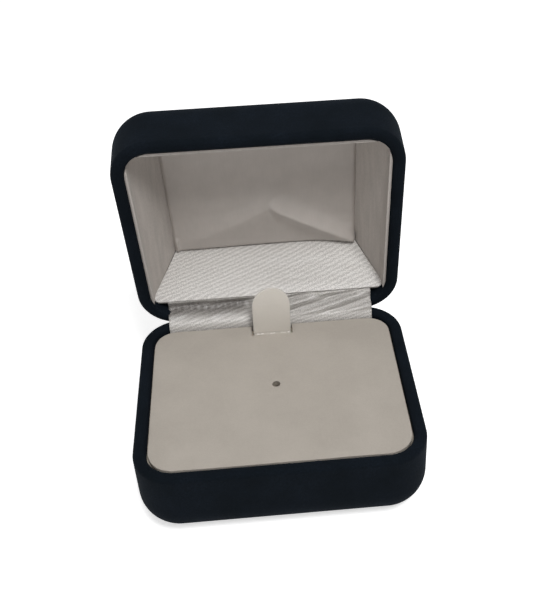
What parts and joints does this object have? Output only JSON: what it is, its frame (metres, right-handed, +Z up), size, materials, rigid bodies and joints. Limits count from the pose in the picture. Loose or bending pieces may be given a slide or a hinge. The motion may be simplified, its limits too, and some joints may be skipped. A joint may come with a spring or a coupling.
{
  "type": "insignia presentation box",
  "caption": "Small velvet-covered hinged presentation box, open, with a flocked insert, pull tab and satin-lined lid.",
  "frame": {"origin": "middle of the base's underside", "axes": "+Z up, hinge at the back (+Y), front edge towards -Y, +X to the right seen from the front"},
  "size_m": [0.0708, 0.0758, 0.079],
  "materials": {
    "velvet": "matte pile",
    "shell": "as moulded",
    "board": "raw greyboard",
    "flock": "short flock",
    "lining": "smooth paper-backed satin on card",
    "satin": "satin weave",
    "foam": "open-cell foam",
    "wadding": "polyester wadding",
    "steel": "bright zinc plate"
  },
  "bodies": {
    "base": {"base_shell": "shell", "base_velvet_cover": "velvet", "base_velvet_patch": "velvet", "base_collar": "board", "base_foam_block": "foam", "insert_board": "board", "insert_flock_facing": "flock", "hinge_base_leaf": "steel", "hinge_base_rivets": "steel", "hinge_pin": "steel", "hinge_spring": "steel", "hinge_ribbon": "satin"},
    "tab": {"pull_tab": "flock"},
    "lid": {"lid_shell": "shell", "lid_velvet_cover": "velvet", "lid_left_wall": "lining", "lid_right_wall": "lining", "lid_front_wall": "lining", "lid_rear_panel_card": "board", "lid_rear_panel_satin": "satin", "lid_ceiling_board": "board", "lid_ceiling_wadding": "wadding", "lid_ceiling_satin": "satin", "hinge_lid_leaf": "steel", "hinge_lid_rivets": "steel"}
  },
  "joints": [
    {"name": "lid_hinge", "type": "hinge", "parent": "base", "child": "lid", "pos_m": [0, 0.0273, 0.02215], "axis": [1, 0, 0], "range_deg": [0, 86], "deforming": ["hinge_ribbon", "hinge_spring"]},
    {"name": "tab_crease", "type": "hinge", "parent": "base", "child": "tab", "pos_m": [0, 0.0207, 0.0209], "axis": [1, 0, 0], "range_deg": [0, 35]}
  ],
  "couplings": [
    {"joint": "tab_crease", "follows": "lid_hinge", "ratio": 0.4}
  ]
}
